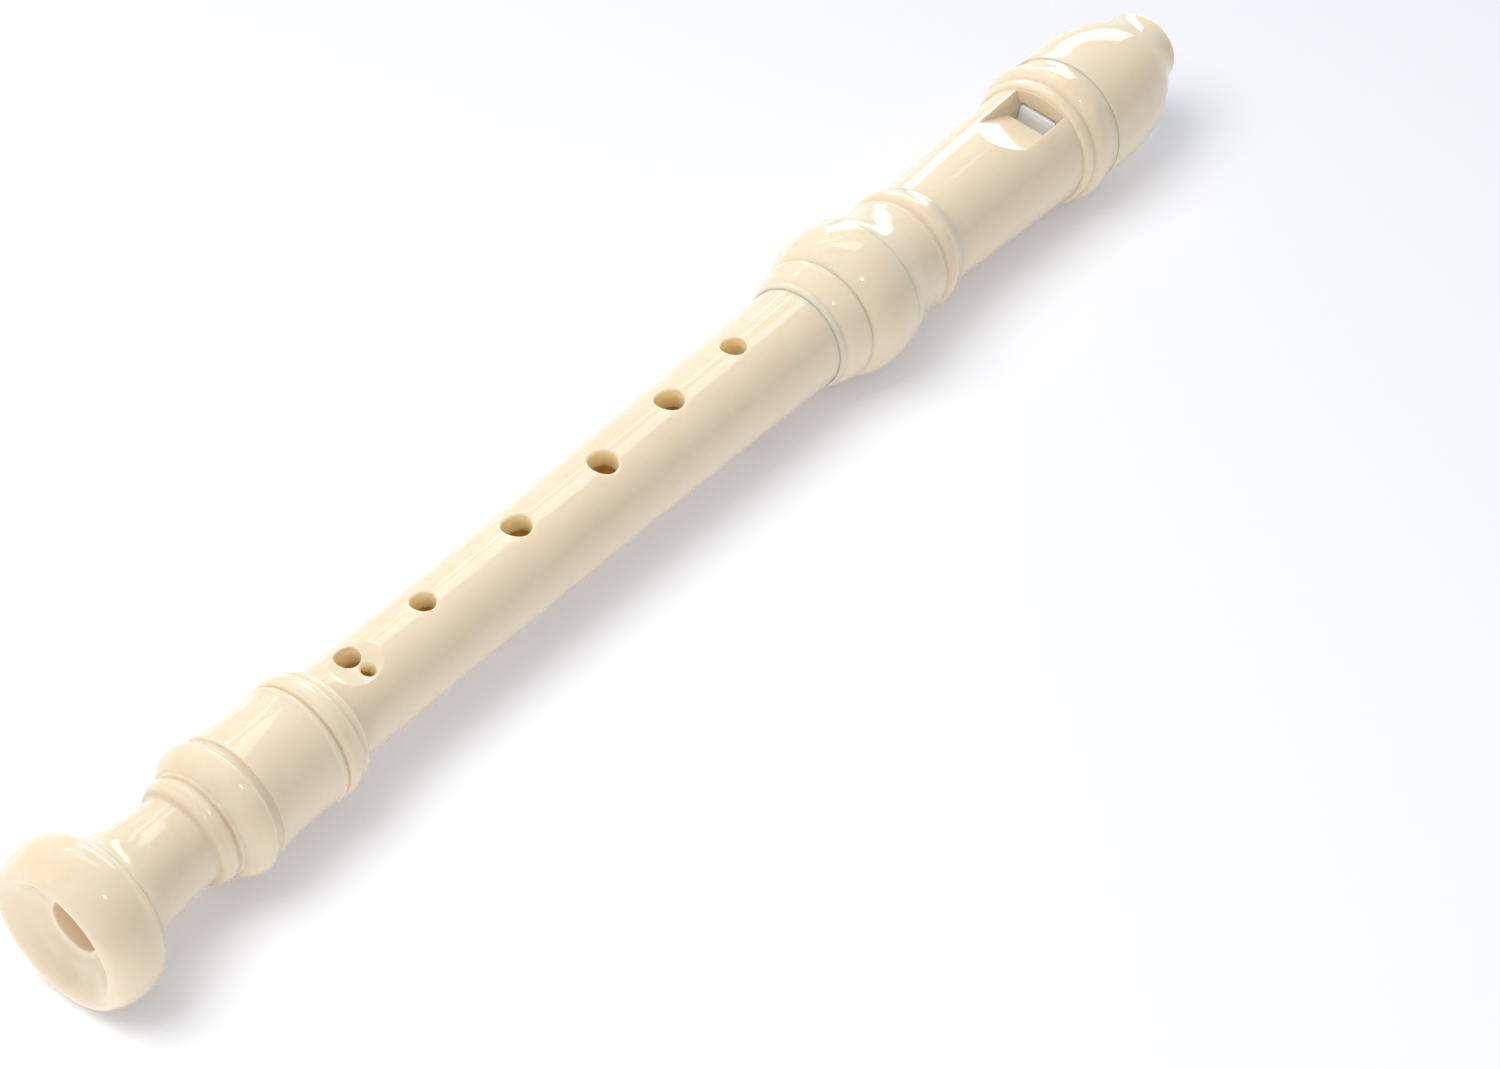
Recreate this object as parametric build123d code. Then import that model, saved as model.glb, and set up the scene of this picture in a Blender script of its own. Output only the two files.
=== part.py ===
"""Soprano recorder in three joints, lying on its side along X.

Units are millimetres. The bore runs along X: the foot's bell is at the low end
and the beak at the high end. +Z is up, through the row of finger holes, and
the origin is the bottom centre of the whole instrument's bounding box.

Stations along the instrument ("s") are measured from the front of the bell's
rim, so s = 0 is the bell and s = LENGTH is the tip of the beak.
"""
import math
import os

from build123d import *

os.makedirs("parts", exist_ok=True)

# ---------------------------------------------------------------- dimensions
LENGTH = 330.0            # bell rim to beak tip
R_BELL = 16.05            # outside of the bell rim
R_NECK = 8.75             # narrowest part of the foot
R_BEAD_BIG = 13.4         # foot's big bead
R_SOCKET_BEAD = 12.5      # bead round the foot's socket
R_TUBE_FOOT = 9.42        # middle joint at the foot end
R_TUBE_HEAD = 11.2        # middle joint at the head end
R_BULB = 16.0             # head's bulb
R_RING2 = 16.2            # widest ring, next to the mouthpiece
R_BEAK = 15.75            # beak at its fullest

R_BORE_FOOT = 4.95        # bore at the bell
R_BORE_FOOT_TOP = 5.6     # foot bore where the socket starts
R_BORE_MID_LOW = 5.6      # middle bore, foot end
R_BORE_MID_TOP = 6.35     # middle bore, head end
R_BORE_HEAD = 6.7         # head bore
R_BLOCK = 7.2             # fipple block

S_BELL_SEAM = 12.2        # seam between the bell ring and the foot joint
S_FOOT_SOCKET = 52.0      # floor of the foot's socket
S_FOOT_TOP = 64.0         # head-side end of the foot
S_MID_LOW = 63.4          # middle joint's lower shoulder, inside the foot's mouth
S_MID_TOP = 201.5         # middle joint's upper shoulder, inside the head's mouth
S_HEAD_LOW = 200.8        # foot-side end of the head joint
S_HEAD_SOCKET = 221.2     # floor of the head's socket
S_BULB_SEAM = 221.9       # seam between the socket bulb and the head tube
S_WINDOW = 285.7          # wall of the window, where the windway ends
S_LABIUM = 281.1          # labium's edge
S_MOUTH_SEAM = 297.7      # seam between the head tube and the mouthpiece

R_TENON_LOW = 7.80        # lower tenon
R_SOCKET_LOW = 7.85
R_TENON_TOP = 9.30        # upper tenon
R_SOCKET_TOP = 9.35
MOUTH = 0.05              # radial play of the tube in a socket's mouth
GLUE = 0.05               # radial gap in a glued spigot

HEAD_TURN = 9.6           # degrees the head is turned towards -Y
FOOT_TURN = -75.0         # degrees hole 7 is turned (towards +Y)

# finger holes: station, angle from +Z towards -Y, diameter
HOLES = [
    ("h1", 180.65, 0.0, 5.1),
    ("h2", 160.6, 0.0, 5.9),
    ("h3", 139.1, 8.0, 5.9),
    ("h4", 115.8, 0.0, 5.8),
    ("h5", 90.3, 0.0, 4.8),
    ("h6_low", 71.9, -8.0, 4.8),
    ("h6_high", 72.5, 23.0, 2.7),
]
THUMB = (187.5, 180.0, 5.4)
HOLE7 = (47.5, 4.5, 2.9)

Z_AXIS = 16.21            # height of the bore's axis above the ground plane


# ---------------------------------------------------------------- helpers
def pt(s, r):
    return Vector(s - LENGTH / 2.0, 0, r)


def outline(start, segs):
    """Closed outline in the XZ half plane, revolved about the bore's axis."""
    edges = []
    cur = start
    for seg in segs:
        kind = seg[0]
        if kind == "l":
            edges.append(Edge.make_line(pt(*cur), pt(*seg[1])))
            cur = seg[1]
        elif kind == "a":
            edges.append(Edge.make_three_point_arc(pt(*cur), pt(*seg[1]), pt(*seg[2])))
            cur = seg[2]
        else:
            pts = [pt(*cur)] + [pt(*p) for p in seg[1]]
            tang = None
            if len(seg) > 2 and seg[2] is not None:
                tang = [Vector(t[0], 0, t[1]) for t in seg[2]]
            edges.append(Edge.make_spline(pts, tangents=tang))
            cur = seg[1][-1]
    if (pt(*cur) - pt(*start)).length > 1e-6:
        edges.append(Edge.make_line(pt(*cur), pt(*start)))
    ring = Solid.revolve(Face(Wire(edges)), 360.0, Axis.X)
    return ring.rotate(Axis.X, 180.0)      # the surface's seam runs along the back


def about_x(shape, deg):
    """Turn about the bore's axis; positive carries +Z towards -Y."""
    return shape.rotate(Axis.X, deg)


def radial_cyl(s, ang, dia, r_from, r_to):
    c = Solid.make_cylinder(dia / 2.0, r_to - r_from,
                            Plane(origin=(s - LENGTH / 2.0, 0, r_from), z_dir=(0, 0, 1)))
    return about_x(c, ang)


def trough(s, ang, r_surface, depth, radius, half):
    """Shallow round-bottomed scoop across the tube under a double hole."""
    c = Solid.make_cylinder(radius, 2 * half,
                            Plane(origin=(s - LENGTH / 2.0, -half, r_surface - depth + radius),
                                  z_dir=(0, 1, 0)))
    return about_x(c, ang)


def one(shape):
    sols = list(shape.solids())
    assert len(sols) == 1, "expected one solid, got %d" % len(sols)
    return sols[0]


def soften(solid, edges, radii):
    """Round the given edges with the first radius that works."""
    for r in radii:
        try:
            out = solid.fillet(r, edges)
            if out.is_valid and len(out.solids()) == 1:
                return one(out)
        except Exception:
            continue
    return solid


def hole_rims(solid, s, ang, dia, r_surface, radii=(0.45, 0.35, 0.25, 0.15)):
    """Round the outer rim of a finger hole."""
    a = math.radians(ang)
    axis = Vector(0, -math.sin(a), math.cos(a))
    org = Vector(s - LENGTH / 2.0, 0, 0)
    pick = []
    for e in solid.edges():
        c = e.center(CenterOf.BOUNDING_BOX) - org
        h = c.dot(axis)
        off = (c - axis * h).length
        if abs(h - r_surface) < 1.1 and off < 1.0 and dia * 0.8 < e.length / math.pi < dia * 1.35:
            pick.append(e)
    if not pick:
        return solid
    return soften(solid, pick, radii)


def tube_r(s):
    """Outside radius of the middle joint, flaring gently to the head."""
    pts = [(63.6, 9.42), (80.0, 9.5), (100.0, 9.62), (120.0, 9.82), (140.0, 10.08),
           (160.0, 10.42), (180.0, 10.8), (200.5, 11.22)]
    for (a, ra), (b, rb) in zip(pts, pts[1:]):
        if s <= b:
            return ra + (rb - ra) * (s - a) / (b - a)
    return pts[-1][1]


# ---------------------------------------------------------------- bell ring
bell_ring = outline((4.7, R_BORE_FOOT), [
    ("a", (4.33, 5.08), (4.2, 5.45)),
    ("s", [(3.5, 7.0), (2.4, 8.8), (1.3, 10.35), (0.45, 11.65), (0.0, 12.75), (0.25, 13.75),
           (1.4, 14.75), (3.35, 15.6), (5.3, 16.0), (7.3, 15.98), (9.1, 15.55), (10.6, 14.7), (11.75, 13.5),
           (12.05, 12.75)],
     [(-0.1, 1.0), (0.05, -1.0)]),
    ("l", (12.2, 12.6)),
    ("l", (12.2, 7.0)),
    ("l", (22.0, 7.0)),
    ("l", (22.2, 6.8)),
    ("l", (22.2, R_BORE_FOOT)),
])

# ---------------------------------------------------------------- foot joint
foot_joint = outline((12.2, 7.0 + GLUE), [
    ("l", (12.2, 12.45)),
    ("l", (12.35, 12.6)),
    ("s", [(13.3, 11.75), (15.0, 10.75), (17.2, 10.0), (20.2, 9.4), (24.0, 8.95), (28.0, 8.78)],
     [(0.35, -0.45), (1.0, -0.02)]),
    ("a", (28.55, 8.9), (28.85, 9.35)),
    ("a", (29.35, 10.05), (30.2, 10.35)),
    ("a", (31.3, 10.62), (32.15, 10.2)),
    ("a", (32.4, 9.98), (32.7, 10.1)),
    ("a", (32.98, 10.5), (33.35, 10.62)),
    ("l", (33.55, 11.0)),
    ("s", [(34.35, 11.9), (35.5, 12.8), (36.9, 13.32), (38.0, 13.38), (38.9, 13.0), (39.25, 12.5)],
     [(0.5, 0.6), (0.15, -1.0)]),
    ("a", (39.75, 12.05), (40.35, 12.0)),
    ("a", (40.75, 12.08), (40.95, 12.35)),
    ("a", (41.15, 12.42), (41.5, 12.38)),
    ("s", [(45.0, 12.08), (50.0, 11.83), (53.5, 11.85), (55.6, 12.0)],
     [(1.0, -0.1), (1.0, 0.12)]),
    ("a", (56.0, 12.2), (56.5, 12.2)),
    ("a", (56.8, 12.1), (56.9, 11.85)),
    ("a", (57.15, 11.6), (57.45, 11.8)),
    ("s", [(57.8, 12.2), (58.6, 12.48), (59.6, 12.42), (60.6, 12.05), (61.3, 11.6)],
     [(0.3, 1.0), (0.8, -0.7)]),
    ("a", (61.6, 11.44), (61.95, 11.42)),
    ("a", (63.4, 11.0), (64.0, 10.05)),
    ("l", (64.0, R_TUBE_FOOT + MOUTH + 0.12)),
    ("l", (63.88, R_TUBE_FOOT + MOUTH)),
    ("l", (63.1, R_TUBE_FOOT + MOUTH)),
    ("l", (63.1, R_SOCKET_LOW + 0.3)),
    ("l", (62.8, R_SOCKET_LOW)),
    ("l", (S_FOOT_SOCKET, R_SOCKET_LOW)),
    ("l", (S_FOOT_SOCKET, R_BORE_FOOT_TOP)),
    ("l", (22.2, R_BORE_FOOT)),
    ("l", (22.2, 7.0 + GLUE)),
])
r7 = 11.95
foot_joint = one(foot_joint - trough(HOLE7[0], 6.0, r7, 0.9, 11.0, 12.0))
foot_joint = one(foot_joint - radial_cyl(HOLE7[0], -9.0, HOLE7[1], 3.0, 20.0))
foot_joint = one(foot_joint - radial_cyl(HOLE7[0] + 0.1, 17.0, HOLE7[2], 3.0, 20.0))
foot_joint = hole_rims(foot_joint, HOLE7[0], -9.0, HOLE7[1], r7 - 0.8)
foot_joint = hole_rims(foot_joint, HOLE7[0] + 0.1, 17.0, HOLE7[2], r7 - 0.8)
foot_joint = about_x(foot_joint, FOOT_TURN)

# ---------------------------------------------------------------- middle joint
middle_joint = outline((52.3, R_BORE_MID_LOW), [
    ("l", (52.3, R_TENON_LOW - 0.4)),
    ("l", (52.7, R_TENON_LOW)),
    ("l", (S_MID_LOW - 0.25, R_TENON_LOW)),
    ("a", (S_MID_LOW - 0.07, R_TENON_LOW + 0.07), (S_MID_LOW, R_TENON_LOW + 0.25)),
    ("l", (S_MID_LOW, R_TUBE_FOOT - 0.3)),
    ("a", (S_MID_LOW + 0.1, R_TUBE_FOOT - 0.1), (S_MID_LOW + 0.3, R_TUBE_FOOT)),
    ("s", [(80.0, 9.5), (100.0, 9.62), (120.0, 9.82), (140.0, 10.08), (160.0, 10.42),
           (180.0, 10.8), (200.1, 11.2), (201.2, 11.22)], None),
    ("a", (201.41, 11.14), (S_MID_TOP, 10.92)),
    ("l", (S_MID_TOP, R_TENON_TOP + 0.25)),
    ("a", (S_MID_TOP + 0.07, R_TENON_TOP + 0.07), (S_MID_TOP + 0.25, R_TENON_TOP)),
    ("l", (220.3, R_TENON_TOP)),
    ("l", (220.8, R_TENON_TOP - 0.5)),
    ("l", (220.8, R_BORE_MID_TOP)),
])
middle_joint = one(middle_joint - trough(71.5, 8.0, 9.46, 1.05, 14.0, 12.0))
for name, s, ang, dia in HOLES:
    middle_joint = one(middle_joint - radial_cyl(s, ang, dia, 2.0, 20.0))
middle_joint = one(middle_joint - radial_cyl(THUMB[0], THUMB[1], THUMB[2], 2.0, 20.0))
for name, s, ang, dia in HOLES:
    rs = 8.6 if name.startswith("h6") else tube_r(s)
    middle_joint = hole_rims(middle_joint, s, ang, dia, rs)
middle_joint = hole_rims(middle_joint, THUMB[0], THUMB[1], THUMB[2], tube_r(THUMB[0]))

# ---------------------------------------------------------------- socket bulb
socket_bulb = outline((209.0, R_SOCKET_TOP), [
    ("l", (202.2, R_SOCKET_TOP)),
    ("l", (201.8, R_SOCKET_TOP + 0.4)),
    ("l", (201.8, 11.22 + MOUTH)),
    ("l", (S_HEAD_LOW, 11.22 + MOUTH)),
    ("l", (S_HEAD_LOW, 11.42)),
    ("a", (201.15, 11.82), (201.75, 11.98)),
    ("a", (202.12, 11.92), (202.4, 11.97)),
    ("s", [(203.6, 12.62), (205.2, 13.1), (206.8, 13.55), (208.0, 13.68)],
     [(0.9, 0.55), (1.0, -0.05)]),
    ("a", (208.55, 13.55), (208.75, 13.2)),
    ("a", (208.9, 13.15), (209.05, 13.3)),
    ("s", [(209.9, 14.15), (211.5, 15.0), (213.6, 15.7), (216.3, 16.0), (219.2, 15.98),
           (221.1, 15.78), (221.75, 15.68)],
     [(0.6, 0.8), (1.0, -0.15)]),
    ("l", (S_BULB_SEAM, 15.53)),
    ("l", (S_BULB_SEAM, 12.0)),
    ("l", (209.0, 12.0)),
])

# ---------------------------------------------------------------- head tube
head_tube = outline((209.0, R_SOCKET_TOP), [
    ("l", (209.0, 12.0 - GLUE - 0.3)),
    ("l", (209.3, 12.0 - GLUE)),
    ("l", (S_BULB_SEAM, 12.0 - GLUE)),
    ("l", (S_BULB_SEAM, 15.35)),
    ("l", (222.05, 15.5)),
    ("s", [(223.6, 15.3), (225.6, 14.6), (228.3, 13.75), (231.6, 13.15), (234.4, 12.98)],
     [(1.0, -0.05), (1.0, 0.0)]),
    ("a", (234.65, 13.1), (235.0, 13.15)),
    ("a", (235.25, 13.06), (235.35, 12.82)),
    ("a", (235.9, 12.52), (236.5, 12.7)),
    ("l", (236.95, 13.15)),
    ("s", [(237.8, 13.6), (238.8, 13.55), (240.3, 12.98), (242.5, 12.45), (246.5, 12.25)],
     [(0.9, 0.7), (1.0, 0.01)]),
    ("s", [(256.0, 12.58), (266.0, 13.03), (276.0, 13.4), (285.2, 13.68)],
     [(1.0, 0.01), (1.0, 0.02)]),
    ("l", (286.0, 13.7)),
    ("a", (286.25, 14.5), (287.0, 14.87)),
    ("a", (288.1, 14.92), (288.85, 14.7)),
    ("a", (289.1, 14.72), (289.3, 14.9)),
    ("s", [(290.0, 15.6), (291.0, 16.08), (291.9, 16.2), (293.4, 15.98), (295.2, 15.6),
           (297.1, 15.3)],
     [(0.6, 1.0), (1.0, -0.08)]),
    ("l", (S_MOUTH_SEAM, 15.28)),
    ("l", (S_MOUTH_SEAM, 12.2)),
    ("l", (305.1, 12.2)),
    ("l", (305.5, 11.8)),
    ("l", (305.5, R_BLOCK + GLUE)),
    ("l", (S_WINDOW, R_BLOCK + GLUE)),
    ("l", (S_WINDOW, R_BORE_HEAD)),
    ("l", (S_HEAD_SOCKET, R_BORE_HEAD)),
    ("l", (S_HEAD_SOCKET, R_SOCKET_TOP)),
])

W_FLOOR = 9.0             # windway floor above the bore's axis
W_ROOF = 10.0             # windway roof
W_HALF = 4.5              # half the windway's width
Z_EDGE = 8.95             # labium's edge above the bore's axis
RAMP = math.tan(math.radians(15.2))


def prism_xz(points, half):
    """Extrude an outline in station/height both ways along Y."""
    w = Wire.make_polygon([Vector(s - LENGTH / 2.0, -half, z) for s, z in points], close=True)
    return Solid.extrude(Face(w), Vector(0, 2 * half, 0))


def prism_yz(points, s0, s1):
    w = Wire.make_polygon([Vector(s0 - LENGTH / 2.0, y, z) for y, z in points], close=True)
    return Solid.extrude(Face(w), Vector(s1 - s0, 0, 0))


ramp_top_s = S_LABIUM - (18.0 - Z_EDGE) / RAMP
ramp = prism_xz([(ramp_top_s, 18.0), (S_LABIUM, Z_EDGE), (S_LABIUM, Z_EDGE - 0.55),
                 (S_WINDOW, Z_EDGE - 0.55), (S_WINDOW, 18.0)], 12.0)
draft = prism_yz([(-4.65, 7.5), (4.65, 7.5), (4.65, 8.8), (9.1, 17.5), (-9.1, 17.5),
                  (-4.65, 8.8)], 240.0, S_WINDOW + 5.0)
pocket = one(ramp & draft)
throat = prism_xz([(274.6, 5.9), (S_LABIUM, Z_EDGE - 0.25), (S_WINDOW, Z_EDGE - 0.25),
                   (S_WINDOW, 1.0), (274.6, 1.0)], 4.58)
windway = prism_yz([(-W_HALF, 5.0), (W_HALF, 5.0), (W_HALF, W_ROOF), (-W_HALF, W_ROOF)],
                   S_WINDOW - 1.5, LENGTH + 1.0)
head_cut = one(pocket + throat)
head_cut = one(head_cut + windway)
head_tube = one(head_tube - head_cut)

# ---------------------------------------------------------------- mouthpiece
# sections of the beak: station, half width, top, bottom
BEAK = [
    (297.7, 15.62, 15.62, -15.62),
    (301.5, 15.66, 15.66, -15.66),
    (306.5, 15.75, 15.7, -15.7),
    (311.0, 15.6, 15.45, -15.4),
    (315.0, 15.05, 14.85, -14.7),
    (318.6, 14.1, 13.95, -13.2),
    (321.8, 12.7, 12.85, -11.2),
    (324.6, 11.0, 11.95, -8.9),
    (327.2, 9.6, 11.6, -6.6),
    (330.0, 8.9, 11.75, -4.6),
]


def ellipse_wire(s, a, top, bot):
    b = (top - bot) / 2.0
    c = (top + bot) / 2.0
    pl = Plane(origin=(s - LENGTH / 2.0, 0, c), x_dir=(0, 1, 0), z_dir=(1, 0, 0))
    if a >= b:
        return Wire([Edge.make_ellipse(a, b, pl)])
    pl = Plane(origin=(s - LENGTH / 2.0, 0, c), x_dir=(0, 0, 1), z_dir=(1, 0, 0))
    return Wire([Edge.make_ellipse(b, a, pl)])


def spline_section(s, a, top, bot, n=24):
    """Closed smooth ellipse-like wire with its start always at +Y."""
    b = (top - bot) / 2.0
    c = (top + bot) / 2.0
    pts = []
    for k in range(n):
        t = 2 * math.pi * k / n
        pts.append(Vector(s - LENGTH / 2.0, a * math.cos(t), c + b * math.sin(t)))
    return Wire([Edge.make_spline(pts, periodic=True)])


beak = Solid.make_loft([spline_section(*row) for row in BEAK])
beak = one(beak)
# underside cut away in a long hollow curve
cut_r = 46.0
cut = Solid.make_cylinder(cut_r, 60.0,
                          Plane(origin=(333.0 - LENGTH / 2.0, -30.0, -2.6 - cut_r), z_dir=(0, 1, 0)))
beak_outer = one(beak - cut)
bore_cut = Solid.make_cylinder(R_BLOCK + GLUE, 60.0,
                               Plane(origin=(280.0 - LENGTH / 2.0, 0, 0), z_dir=(1, 0, 0)))
spigot_cut = Solid.make_cylinder(12.2 + GLUE, 305.5 - 290.0,
                                 Plane(origin=(290.0 - LENGTH / 2.0, 0, 0), z_dir=(1, 0, 0)))
tip_edges = [e for e in beak_outer.edges()
             if abs(e.center(CenterOf.BOUNDING_BOX).X - LENGTH / 2.0) < 0.02]
beak_outer = soften(beak_outer, tip_edges, (0.9, 0.6, 0.4))
lip_edges = [e for e in beak_outer.edges()
             if abs(e.center(CenterOf.BOUNDING_BOX).X - (S_MOUTH_SEAM - LENGTH / 2.0)) < 0.02]
beak_outer = soften(beak_outer, lip_edges, (0.28, 0.2))
mouthpiece = one(beak_outer - bore_cut)
mouthpiece = one(mouthpiece - spigot_cut)
mouthpiece = one(mouthpiece - windway)

# ---------------------------------------------------------------- fipple block
block = Solid.make_cylinder(R_BLOCK, LENGTH - 0.25 - S_WINDOW,
                            Plane(origin=(S_WINDOW - LENGTH / 2.0, 0, 0), z_dir=(1, 0, 0)))
key = prism_yz([(-(W_HALF - GLUE), 0.0), (W_HALF - GLUE, 0.0),
                (W_HALF - GLUE, W_FLOOR), (-(W_HALF - GLUE), W_FLOOR)], S_WINDOW, LENGTH - 0.25)
block = one(block + key)
block_cut = Solid.make_cylinder(cut_r, 60.0,
                                Plane(origin=(333.0 - LENGTH / 2.0, -30.0, -2.6 - cut_r),
                                      z_dir=(0, 1, 0)))
fipple_block = one(block - block_cut)

socket_bulb = about_x(socket_bulb, HEAD_TURN)
head_tube = about_x(head_tube, HEAD_TURN)
mouthpiece = about_x(mouthpiece, HEAD_TURN)
fipple_block = about_x(fipple_block, HEAD_TURN)

# ---------------------------------------------------------------- output
NODES = {
    "bell_ring": bell_ring,
    "foot_joint": foot_joint,
    "middle_joint": middle_joint,
    "socket_bulb": socket_bulb,
    "head_tube": head_tube,
    "mouthpiece": mouthpiece,
    "fipple_block": fipple_block,
}
lift = Location((0, 0, Z_AXIS))
for node, solid in NODES.items():
    placed = one(solid).moved(lift)
    assert placed.is_valid, node
    placed.label = node
    export_step(placed, "parts/%s.step" % node)
    bb = placed.bounding_box()
    print("%-13s vol %.1f  x %.2f..%.2f  y %.2f..%.2f  z %.2f..%.2f" % (
        node, placed.volume, bb.min.X, bb.max.X, bb.min.Y, bb.max.Y, bb.min.Z, bb.max.Z))
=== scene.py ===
import math

import bpy
from mathutils import Matrix, Vector

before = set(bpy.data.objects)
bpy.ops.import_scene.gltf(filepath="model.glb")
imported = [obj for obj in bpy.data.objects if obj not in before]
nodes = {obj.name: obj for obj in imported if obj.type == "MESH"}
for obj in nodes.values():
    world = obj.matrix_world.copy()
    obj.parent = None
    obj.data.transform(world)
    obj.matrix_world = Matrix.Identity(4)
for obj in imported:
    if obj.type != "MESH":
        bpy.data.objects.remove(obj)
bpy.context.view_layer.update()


# ---------------------------------------------------------------- small helpers
def srgb(r, g, b):
    """An sRGB colour given 0..1 as linear RGBA."""
    def lin(c):
        return c / 12.92 if c <= 0.04045 else ((c + 0.055) / 1.055) ** 2.4
    return (lin(r), lin(g), lin(b), 1.0)


class Tree:
    """A thin wrapper for writing shader nodes."""

    def __init__(self, name):
        self.mat = bpy.data.materials.new(name)
        self.mat.use_nodes = True
        self.t = self.mat.node_tree
        self.t.nodes.clear()

    def new(self, kind, **props):
        n = self.t.nodes.new(kind)
        for k, v in props.items():
            setattr(n, k, v)
        return n

    def put(self, socket, value):
        if isinstance(value, bpy.types.NodeSocket):
            self.t.links.new(value, socket)
        else:
            socket.default_value = value

    def math(self, op, a, b=None, c=None, clamp=False):
        n = self.new("ShaderNodeMath", operation=op, use_clamp=clamp)
        self.put(n.inputs[0], a)
        if b is not None:
            self.put(n.inputs[1], b)
        if c is not None:
            self.put(n.inputs[2], c)
        return n.outputs[0]

    def noise(self, vector, scale, detail=3.0, rough=0.5, distort=0.0):
        n = self.new("ShaderNodeTexNoise")
        self.put(n.inputs["Vector"], vector)
        n.inputs["Scale"].default_value = scale
        n.inputs["Detail"].default_value = detail
        n.inputs["Roughness"].default_value = rough
        n.inputs["Distortion"].default_value = distort
        return n.outputs["Fac"]

    def span(self, value, a, b, c, d, smooth=False):
        n = self.new("ShaderNodeMapRange", interpolation_type="SMOOTHSTEP" if smooth else "LINEAR")
        self.put(n.inputs["Value"], value)
        for k, v in zip(("From Min", "From Max", "To Min", "To Max"), (a, b, c, d)):
            self.put(n.inputs[k], v)
        return n.outputs["Result"]

    def mix(self, fac, a, b, blend="MIX"):
        n = self.new("ShaderNodeMix", data_type="RGBA", blend_type=blend)
        self.put(n.inputs[0], fac)
        self.put(n.inputs[6], a)
        self.put(n.inputs[7], b)
        return n.outputs[2]


# ---------------------------------------------------------------- materials
def moulded(name, base, warm, pale, rough=0.075, sss=0.50, grain=1.0, seed=0.0, coat=0.0,
             inside=0.0052, taper=0.0, bore_glow_colour=srgb(1.0, 0.932, 0.785), within=0.95):
    """Injection-moulded ABS: glossy, faintly translucent, with flow shading in
    the colour, a handled sheen in the roughness and a very fine moulded skin."""
    k = Tree(name)
    coord = k.new("ShaderNodeTexCoord").outputs["Object"]
    shift = k.new("ShaderNodeMapping")
    k.put(shift.inputs["Vector"], coord)
    shift.inputs["Location"].default_value = (seed, seed * 0.37, -seed * 0.61)
    p = shift.outputs["Vector"]

    # slow flow of the melt along the tube
    stretch = k.new("ShaderNodeMapping")
    k.put(stretch.inputs["Vector"], p)
    stretch.inputs["Scale"].default_value = (0.35, 1.0, 1.0)
    flow = k.noise(stretch.outputs["Vector"], 75.0, 4.0, 0.55, 0.6)
    cloud = k.noise(p, 260.0, 3.0, 0.5)
    speck = k.noise(p, 2600.0, 2.0, 0.6)

    colour = k.mix(k.span(flow, 0.34, 0.66, 0.0, 1.0), base, pale)
    colour = k.mix(k.math("MULTIPLY", k.span(cloud, 0.40, 0.72, 0.0, 1.0), 0.45), colour, warm)
    colour = k.mix(k.math("MULTIPLY", k.span(speck, 0.66, 0.80, 0.0, 1.0, True), 0.10), colour, warm)

    # the bore walls: a painted glow, a lighter warm colour that stands in for the light scattered and bounced about
    # inside the bore
    axis = k.new("ShaderNodeSeparateXYZ")
    k.put(axis.inputs["Vector"], coord)
    dz = k.math("SUBTRACT", axis.outputs["Z"], 0.01621)
    radius = k.math("SQRT", k.math("ADD", k.math("MULTIPLY", axis.outputs["Y"], axis.outputs["Y"]),
                                   k.math("MULTIPLY", dz, dz)))
    # the tube grows towards its head end, and the bore wall with it
    grown = k.math("MULTIPLY", k.math("ADD", axis.outputs["X"], 0.1016), taper)
    near = k.span(k.math("SUBTRACT", radius, grown), inside, inside + 0.0012, 1.0, 0.0, True)
    # a face that looks outwards, such as a tenon's, is not bore however close in it is
    facing = k.new("ShaderNodeSeparateXYZ")
    k.put(facing.inputs["Vector"], k.new("ShaderNodeTexCoord").outputs["Normal"])
    outward = k.math("DIVIDE", k.math("ADD", k.math("MULTIPLY", facing.outputs["Y"], axis.outputs["Y"]),
                                      k.math("MULTIPLY", facing.outputs["Z"], dz)),
                     k.math("MAXIMUM", radius, 0.0001))
    bore_glow_mask = k.math("MULTIPLY", near, k.span(outward, 0.35, 0.70, 1.0, 0.0, True))
    # painted glow: the bore walls are mixed towards the lighter warm colour
    colour = k.mix(bore_glow_mask, colour, bore_glow_colour)

    # sheen: a polished mould, a little dulled where it is handled
    smear = k.noise(stretch.outputs["Vector"], 120.0, 5.0, 0.6, 1.2)
    fine = k.noise(p, 1500.0, 2.0, 0.5)
    r = k.math("ADD", k.span(smear, 0.35, 0.70, rough * 0.75, rough * 1.35),
               k.span(fine, 0.3, 0.7, -rough * 0.08, rough * 0.08))

    # skin: long shallow waves of sink plus the fine moulded grain
    wave = k.noise(stretch.outputs["Vector"], 150.0, 2.0, 0.4)
    skin = k.noise(p, 2200.0, 3.0, 0.55)
    h = k.math("ADD", k.math("MULTIPLY", wave, 0.55), k.math("MULTIPLY", skin, 0.035 * grain))
    bump = k.new("ShaderNodeBump")
    bump.inputs["Strength"].default_value = 0.10
    bump.inputs["Distance"].default_value = 0.0003
    k.put(bump.inputs["Height"], h)

    s = k.new("ShaderNodeBsdfPrincipled")
    k.put(s.inputs["Base Color"], colour)
    k.put(s.inputs["Roughness"], r)
    k.put(s.inputs["Normal"], bump.outputs["Normal"])
    s.inputs["IOR"].default_value = 1.52
    k.put(s.inputs["Subsurface Weight"], k.math("MULTIPLY_ADD", bore_glow_mask, within - sss, sss))
    s.inputs["Subsurface Radius"].default_value = (1.0, 0.62, 0.34)
    s.inputs["Subsurface Scale"].default_value = 0.0033
    s.inputs["Coat Weight"].default_value = coat
    s.inputs["Coat Roughness"].default_value = 0.04
    out = k.new("ShaderNodeOutputMaterial")
    k.put(out.inputs["Surface"], s.outputs["BSDF"])
    return k.mat


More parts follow.
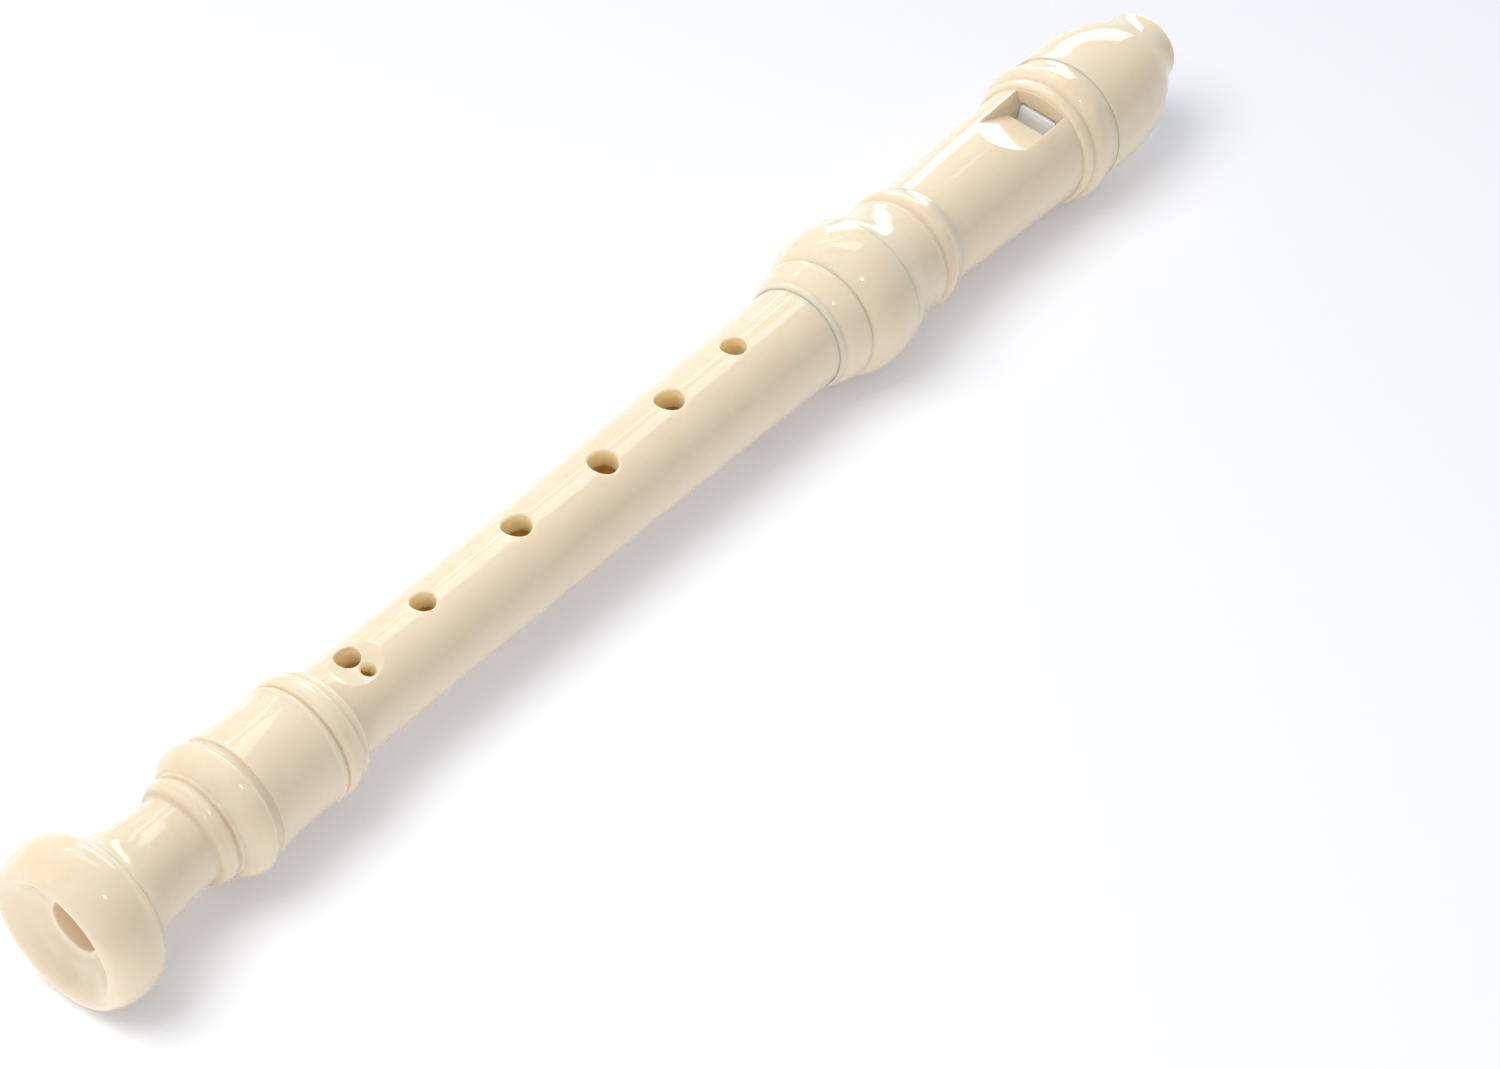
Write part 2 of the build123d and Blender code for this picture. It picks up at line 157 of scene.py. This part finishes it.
IVORY = dict(base=srgb(0.905, 0.846, 0.742), warm=srgb(0.893, 0.822, 0.698), pale=srgb(0.915, 0.862, 0.765))
ivory = {
    "middle_joint": moulded("ivory_abs_middle", seed=0.11, inside=0.0079, taper=0.0130, **IVORY),
    "foot_joint": moulded("ivory_abs_foot", seed=0.53, bore_glow_colour=srgb(1.0, 0.93, 0.835), within=0.35, **IVORY),
    "bell_ring": moulded("ivory_abs_bell", seed=0.91, inside=0.0045, bore_glow_colour=srgb(1.0, 0.93, 0.835), within=0.35, **IVORY),
    "head_tube": moulded("ivory_abs_head", seed=1.37, inside=0.0060, **IVORY),
    "socket_bulb": moulded("ivory_abs_bulb", seed=1.73, **IVORY),
    "mouthpiece": moulded("ivory_abs_mouthpiece", seed=2.21, **IVORY),
}
block = moulded(
    "grey_white_block",
    base=srgb(0.945, 0.94, 0.925), warm=srgb(0.925, 0.915, 0.89), pale=srgb(0.955, 0.95, 0.94),
    rough=0.34, sss=0.6, inside=0.0, bore_glow_colour=srgb(0.945, 0.94, 0.925), grain=2.5, seed=3.1,
)

for name, obj in nodes.items():
    obj.data.materials.clear()
    obj.data.materials.append(ivory.get(name, block))
    obj.data.shade_smooth()
    # crisp arrises: the face normals of the CAD solids carry the edges
    for m in list(obj.modifiers):
        obj.modifiers.remove(m)


# ---------------------------------------------------------------- floor
def floor_sheet():
    me = bpy.data.meshes.new("floor_sheet")
    r = 6.0
    me.from_pydata([(-r, -r, 0), (r, -r, 0), (r, r, 0), (-r, r, 0)], [], [(0, 1, 2, 3)])
    o = bpy.data.objects.new("floor_sheet", me)
    bpy.context.scene.collection.objects.link(o)
    o.location.z = -0.00012
    k = Tree("white_paper")
    s = k.new("ShaderNodeBsdfDiffuse")
    s.inputs["Color"].default_value = (0.93, 0.93, 0.93, 1.0)
    glow = k.new("ShaderNodeEmission")
    glow.inputs["Color"].default_value = (0.60, 0.70, 1.0, 1.0)
    glow.inputs["Strength"].default_value = 0.145
    add = k.new("ShaderNodeAddShader")
    k.put(add.inputs[0], s.outputs["BSDF"])
    k.put(add.inputs[1], glow.outputs["Emission"])
    out = k.new("ShaderNodeOutputMaterial")
    k.put(out.inputs["Surface"], add.outputs["Shader"])
    o.data.materials.append(k.mat)
    return o


paper = floor_sheet()


# ---------------------------------------------------------------- light
def area(name, at, aim, size, power, colour=(1, 1, 1), shape="RECTANGLE", spread=180.0):
    d = bpy.data.lights.new(name, "AREA")
    d.shape = shape
    d.size, d.size_y = size
    d.energy = power
    d.color = colour
    d.spread = math.radians(spread)
    o = bpy.data.objects.new(name, d)
    bpy.context.scene.collection.objects.link(o)
    o.location = at
    o.visible_camera = False
    o.rotation_mode = "QUATERNION"
    o.rotation_quaternion = (Vector(aim) - Vector(at)).to_track_quat("-Z", "Y")
    return o


def toward(az, el, dist, centre=(0.0, 0.0, 0.016)):
    """A point dist away in the direction az (from +X towards +Y) and el."""
    a, e = math.radians(az), math.radians(el)
    return (centre[0] + dist * math.cos(a) * math.cos(e), centre[1] + dist * math.sin(a) * math.cos(e),
            centre[2] + dist * math.sin(e))


CENTRE = (0.0, 0.0, 0.016)
HEAD = (0.09, 0.0, 0.03)
TUBE = (-0.05, 0.0, 0.03)
WINDOW = (0.118, 0.0, 0.028)
lit_parts = bpy.data.collections.new("lit_parts")
for obj in nodes.values():
    lit_parts.objects.link(obj)
lit_block = bpy.data.collections.new("lit_block")
lit_block.objects.link(nodes["fipple_block"])
lit_floor = bpy.data.collections.new("lit_floor")
lit_floor.objects.link(paper)


def only(light, group):
    light.light_linking.receiver_collection = group


# on the object: a box above and behind on the right, a low wide one beyond the
# mouthpiece that the head and the window ramp mirror, and strips for the tube
key = area("key_softbox", toward(93, 60, 0.95), CENTRE, (0.46, 0.46), 6.3)
key.visible_glossy = False
only(key, lit_parts)
only(area("low_card", toward(30, 17.5, 0.90, HEAD), HEAD, (0.655, 0.285), 2.05), lit_parts)
only(area("tube_strip", toward(51, 38.0, 1.2, TUBE), TUBE, (0.55, 0.10), 0.42), lit_parts)
only(area("tube_strip_low", toward(27, 52, 1.2, TUBE), TUBE, (0.60, 0.25), 1.10), lit_parts)
# a broad dim fill level with the bell
fill = area("bell_fill", toward(186, 14, 1.0), CENTRE, (0.60, 0.40), 2.7)
fill.visible_glossy = False
only(fill, lit_parts)
# a small round lamp in front, seen as dots on every bead
lamp = area("round_lamp", toward(-92, 57, 0.9), CENTRE, (0.055, 0.055), 1.3, shape="DISK")
lamp.visible_diffuse = False
only(lamp, lit_parts)
# a card that looks in through the window, for the block's face only
only(area("window_card", toward(219, 43, 0.8, WINDOW), WINDOW, (0.20, 0.20), 3.4), lit_block)
# on the paper: the box that throws the soft shadow
only(area("paper_softbox", toward(155, 63, 0.95), CENTRE, (0.68, 0.68), 6.0), lit_floor)

world = bpy.data.worlds.new("studio")
bpy.context.scene.world = world
world.use_nodes = True
wt = world.node_tree
bg = wt.nodes["Background"]
bg.inputs["Strength"].default_value = 0.565
where = wt.nodes.new("ShaderNodeTexCoord")
dot = wt.nodes.new("ShaderNodeVectorMath")
dot.operation = "DOT_PRODUCT"
left = toward(125, 30, 1.0, (0, 0, 0))
dot.inputs[1].default_value = left
wt.links.new(where.outputs["Generated"], dot.inputs[0])
fade = wt.nodes.new("ShaderNodeMapRange")
fade.interpolation_type = "SMOOTHSTEP"
for k, v in zip(("From Min", "From Max", "To Min", "To Max"), (0.35, 0.95, 1.0, 0.60)):
    fade.inputs[k].default_value = v
wt.links.new(dot.outputs["Value"], fade.inputs["Value"])
wt.links.new(fade.outputs["Result"], bg.inputs["Color"])

# ---------------------------------------------------------------- camera
cam_data = bpy.data.cameras.new("camera")
cam = bpy.data.objects.new("camera", cam_data)
bpy.context.scene.collection.objects.link(cam)
cam_data.sensor_fit = "HORIZONTAL"
cam_data.sensor_width = 36.0
cam_data.lens = 73.1723
cam_data.shift_x = 0.027687
cam_data.shift_y = -0.00769
cam_data.clip_start = 0.01
cam_data.clip_end = 50.0
x_cam = Vector((0.61671573, -0.78705868, -0.01415423))
y_down = Vector((-0.52546717, -0.39821905, -0.75186823))
forward = Vector((0.58612794, 0.47112655, -0.65916145))
m = Matrix.Identity(4)
for i in range(3):
    m[i][0], m[i][1], m[i][2] = x_cam[i], -y_down[i], -forward[i]
m[0][3], m[1][3], m[2][3] = -0.35399306, -0.29005123, 0.3928492
cam.matrix_world = m
bpy.context.scene.camera = cam

scene = bpy.context.scene
scene.view_settings.view_transform = "Standard"
scene.view_settings.look = "None"
scene.view_settings.exposure = 0.0
scene.view_settings.gamma = 1.0
scene.cycles.max_bounces = 16
scene.cycles.diffuse_bounces = 10
